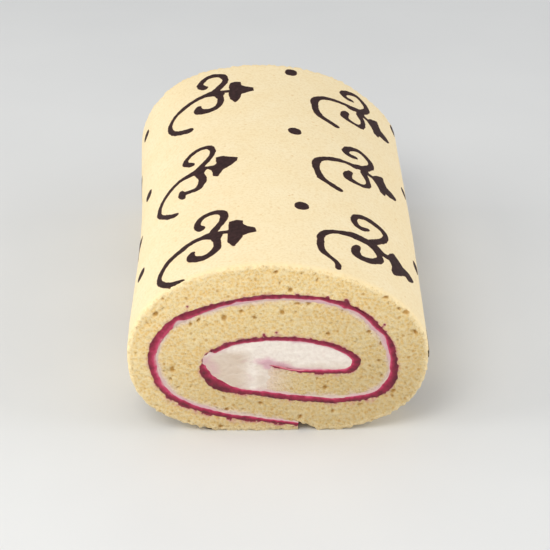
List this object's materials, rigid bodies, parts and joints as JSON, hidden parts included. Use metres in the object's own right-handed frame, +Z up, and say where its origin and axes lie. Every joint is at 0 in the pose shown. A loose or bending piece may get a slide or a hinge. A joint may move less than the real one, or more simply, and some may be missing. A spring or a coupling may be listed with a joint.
{
  "type": "swiss roll cake",
  "caption": "Flattened oval sponge roll cut flat at both ends, with jam and cream in a spiral inside and dark chocolate scrolls and dots baked into its pale skin.",
  "frame": {"origin": "middle of the box round the roll, on the surface that it rests on", "axes": "+Y along the roll from its cut front to its back, +X to the right as seen from the front, +Z up"},
  "size_m": [0.09, 0.152, 0.0566],
  "materials": {
    "sponge": "baked sponge: pale fine-grained skin, golden open crumb at the cuts",
    "jam": "wet magenta fruit jam",
    "cream": "soft white cream with a faint pink stain"
  },
  "bodies": {
    "root": {"sponge_sheet": "sponge", "jam_layer": "jam", "cream_filling": "cream"}
  },
  "joints": []
}
